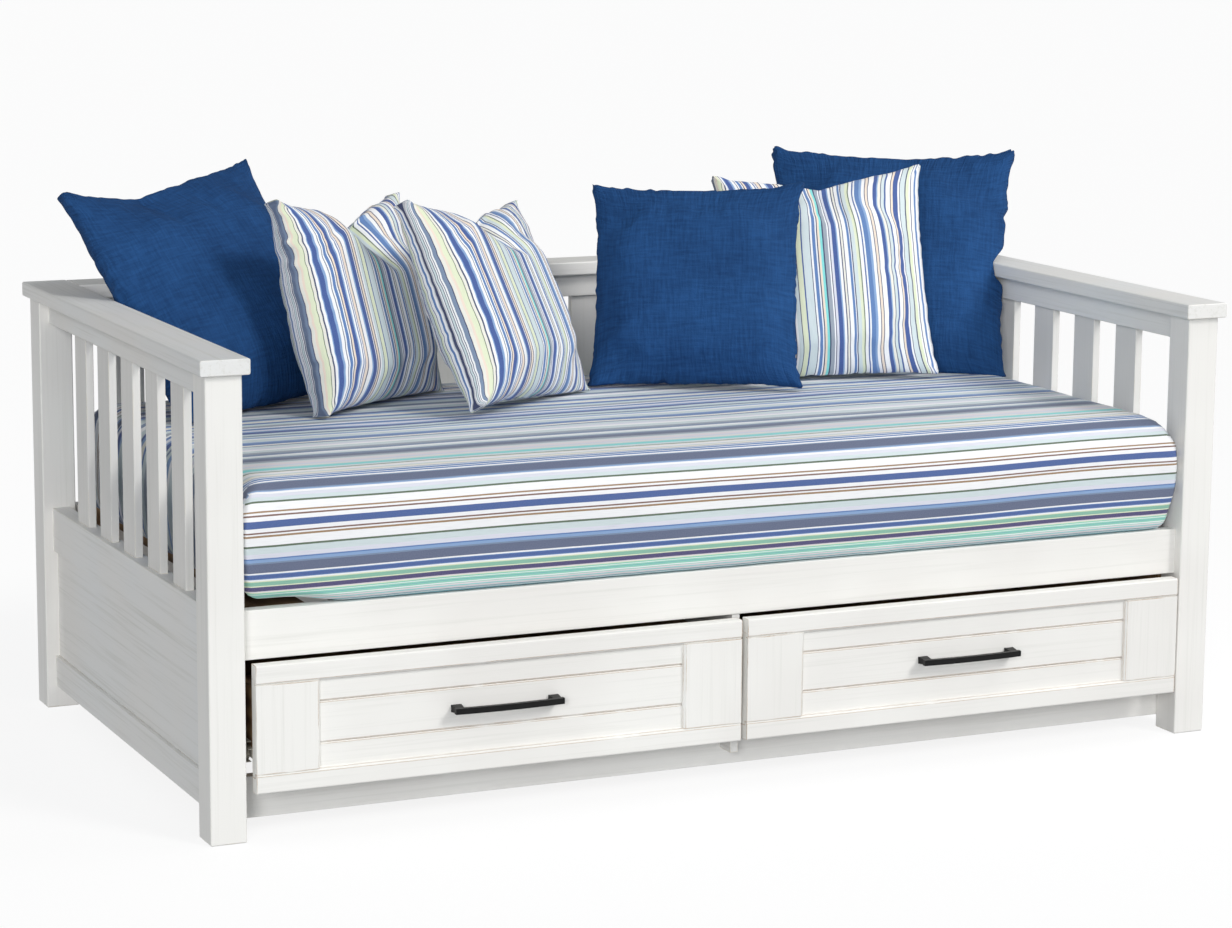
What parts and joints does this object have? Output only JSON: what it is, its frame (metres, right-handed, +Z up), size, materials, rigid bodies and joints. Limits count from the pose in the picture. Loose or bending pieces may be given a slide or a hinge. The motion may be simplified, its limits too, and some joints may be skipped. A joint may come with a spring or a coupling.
{
  "type": "storage daybed",
  "caption": "Slatted wooden daybed with flat caps round the arms and back, a striped mattress and loose pillows, and planked storage drawers on roller runners.",
  "frame": {"origin": "on the floor, under the middle of the whole footprint with the handles", "axes": "+Z up, the front with the drawers towards -Y, +X along the length to the right seen from the front"},
  "size_m": [2.116, 1.202, 1.1541],
  "materials": {
    "painted_wood": "brushed paint",
    "plain_wood": "clear lacquer",
    "fastener_steel": "zinc plated",
    "runner_metal": "epoxy coated",
    "roller_plastic": "matte",
    "handle_black": "matte black",
    "mattress_cover": "striped cotton",
    "blue_cotton": "crinkled cotton",
    "striped_cotton": "striped cotton"
  },
  "bodies": {
    "frame": {"arm_panels": "painted_wood", "back_bottom_rail": "painted_wood", "back_cap": "painted_wood", "back_middle_rail": "painted_wood", "back_panel": "painted_wood", "back_slats": "painted_wood", "back_top_rail": "painted_wood", "blue_pillow_centre": "blue_cotton", "blue_pillow_left": "blue_cotton", "blue_pillow_right": "blue_cotton", "board_cleats": "plain_wood", "bracket_screws": "fastener_steel", "cabinet_runners": "runner_metal", "centre_divider": "painted_wood", "front_left_post": "painted_wood", "front_mattress_rail": "painted_wood", "front_rail_brackets": "fastener_steel", "front_right_post": "painted_wood", "left_arm_bottom_rail": "painted_wood", "left_arm_cap": "painted_wood", "left_arm_middle_rail": "painted_wood", "left_arm_slats": "painted_wood", "left_arm_top_rail": "painted_wood", "mattress": "mattress_cover", "mattress_boards": "plain_wood", "rear_left_post": "painted_wood", "rear_right_post": "painted_wood", "right_arm_bottom_rail": "painted_wood", "right_arm_cap": "painted_wood", "right_arm_middle_rail": "painted_wood", "right_arm_slats": "painted_wood", "right_arm_top_rail": "painted_wood", "runner_boards": "plain_wood", "striped_pillow_left": "striped_cotton", "striped_pillow_middle": "striped_cotton", "striped_pillow_right": "striped_cotton", "toe_kick_rail": "painted_wood"},
    "left_drawer": {"left_drawer_bottom": "plain_wood", "left_drawer_bottom_rail": "painted_wood", "left_drawer_box_walls": "plain_wood", "left_drawer_handle": "handle_black", "left_drawer_handle_screws": "fastener_steel", "left_drawer_planks": "painted_wood", "left_drawer_runners": "runner_metal", "left_drawer_stiles": "painted_wood", "left_drawer_top_rail": "painted_wood"},
    "right_drawer": {"right_drawer_bottom": "plain_wood", "right_drawer_bottom_rail": "painted_wood", "right_drawer_box_walls": "plain_wood", "right_drawer_handle": "handle_black", "right_drawer_handle_screws": "fastener_steel", "right_drawer_planks": "painted_wood", "right_drawer_runners": "runner_metal", "right_drawer_stiles": "painted_wood", "right_drawer_top_rail": "painted_wood"},
    "left_front_rollers": {"left_front_rollers": "roller_plastic"},
    "right_front_rollers": {"right_front_rollers": "roller_plastic"},
    "left_rear_rollers": {"left_rear_rollers": "roller_plastic"},
    "right_rear_rollers": {"right_rear_rollers": "roller_plastic"}
  },
  "joints": [
    {"name": "left_drawer_slide", "type": "slide", "parent": "frame", "child": "left_drawer", "axis": [0, -1, 0], "range_m": [0, 0.42]},
    {"name": "right_drawer_slide", "type": "slide", "parent": "frame", "child": "right_drawer", "axis": [0, -1, 0], "range_m": [0, 0.42]},
    {"name": "left_front_roller_spin", "type": "hinge", "parent": "frame", "child": "left_front_rollers", "pos_m": [-0.49, -0.521, 0.1545], "axis": [1, 0, 0], "range_deg": [-10, 2020]},
    {"name": "left_rear_roller_spin", "type": "hinge", "parent": "left_drawer", "child": "left_rear_rollers", "pos_m": [-0.49, -0.018, 0.1545], "axis": [1, 0, 0], "range_deg": [-10, 2020]},
    {"name": "right_front_roller_spin", "type": "hinge", "parent": "frame", "child": "right_front_rollers", "pos_m": [0.49, -0.521, 0.1545], "axis": [1, 0, 0], "range_deg": [-10, 2020]},
    {"name": "right_rear_roller_spin", "type": "hinge", "parent": "right_drawer", "child": "right_rear_rollers", "pos_m": [0.49, -0.018, 0.1545], "axis": [1, 0, 0], "range_deg": [-10, 2020]}
  ],
  "couplings": [
    {"joint": "left_front_roller_spin", "follows": "left_drawer_slide", "rad_per_m": 83.333},
    {"joint": "left_rear_roller_spin", "follows": "left_drawer_slide", "rad_per_m": 83.333},
    {"joint": "right_front_roller_spin", "follows": "right_drawer_slide", "rad_per_m": 83.333},
    {"joint": "right_rear_roller_spin", "follows": "right_drawer_slide", "rad_per_m": 83.333}
  ]
}
